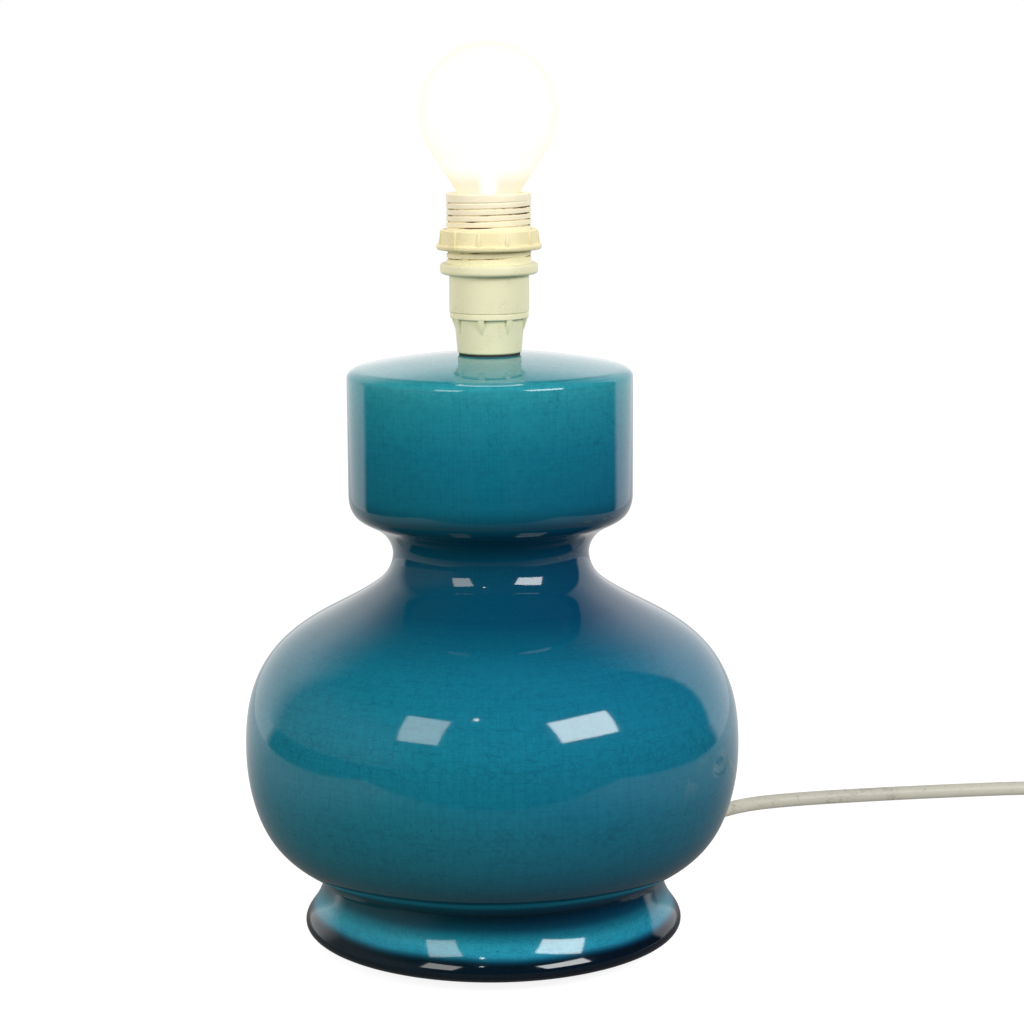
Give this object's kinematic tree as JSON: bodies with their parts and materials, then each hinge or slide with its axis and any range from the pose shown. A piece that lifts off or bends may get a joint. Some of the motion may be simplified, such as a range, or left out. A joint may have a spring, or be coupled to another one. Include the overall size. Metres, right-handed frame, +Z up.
{
  "type": "ceramic table lamp",
  "caption": "Table lamp with a round-bellied turquoise crackle-glazed ceramic body, small screw lampholder with shade ring, golf-ball bulb and supply cord.",
  "frame": {"origin": "centre of the ring that the lamp stands on, on the surface that carries it", "axes": "+Z up along the lamp's axis, -Y towards the front, the cord leaves at the back towards +X and +Y"},
  "size_m": [0.4273, 0.255, 0.2987],
  "materials": {
    "turquoise_glaze": "glossy craquelure glaze",
    "ivory_rubber": "satin",
    "ivory_sheath": "satin",
    "brown_core": "satin",
    "blue_core": "satin",
    "zinc_steel": "zinc plated",
    "dark_fibre": "matt fibre",
    "black_rubber": "matt",
    "cream_paint": "painted, semi-gloss, flaked at the thread",
    "warm_cream_plastic": "moulded, satin",
    "white_porcelain": "unpolished",
    "brass": "bright",
    "opal_glass": "opal, lit",
    "nickel_plate": "nickel plated",
    "black_glass": "glossy",
    "solder": "dull",
    "clear_glass": "clear",
    "tungsten": "matt",
    "ivory_switch": "moulded",
    "white_rocker": "moulded",
    "ivory_plug": "moulded"
  },
  "bodies": {
    "lamp": {"ceramic_body": "turquoise_glaze", "ceramic_drum": "turquoise_glaze", "cord_grommet": "ivory_rubber", "inner_cord": "ivory_sheath", "live_core": "brown_core", "neutral_core": "blue_core", "threaded_stem": "zinc_steel", "seat_washer": "dark_fibre", "soft_washer": "black_rubber", "steel_washer": "zinc_steel", "lock_nut": "zinc_steel", "holder_cap": "cream_paint", "cap_grub_screw": "zinc_steel", "holder_barrel": "cream_paint", "contact_insert": "white_porcelain", "screw_shell": "brass", "centre_contact": "brass", "live_terminal": "brass", "neutral_terminal": "brass", "terminal_screws": "zinc_steel", "supply_cord": "ivory_sheath", "cord_coil": "ivory_sheath", "switch_cord": "ivory_sheath", "plug_cord": "ivory_sheath", "switch_base": "ivory_switch", "switch_cover": "ivory_switch", "switch_contacts": "brass", "switch_screws": "zinc_steel", "plug_body": "ivory_plug", "plug_pins": "nickel_plate"},
    "bulb": {"bulb_glass": "opal_glass", "bulb_cap_shell": "nickel_plate", "bulb_insulator": "black_glass", "bulb_tip": "solder", "bulb_stem": "clear_glass", "bulb_leads": "nickel_plate", "bulb_filament": "tungsten"},
    "shade_ring": {"shade_ring": "warm_cream_plastic"},
    "rocker": {"switch_rocker": "white_rocker"}
  },
  "joints": [
    {"name": "bulb_lift", "type": "slide", "parent": "lamp", "child": "bulb", "axis": [0, 0, 1], "range_m": [0, 0.034]},
    {"name": "ring_travel", "type": "slide", "parent": "lamp", "child": "shade_ring", "axis": [0, 0, 1], "range_m": [-0.0042, 0.01]},
    {"name": "rocker_tilt", "type": "hinge", "parent": "lamp", "child": "rocker", "pos_m": [0.333, 0.074, 0.01], "axis": [1, 0, 0], "range_deg": [-16, 0]}
  ]
}
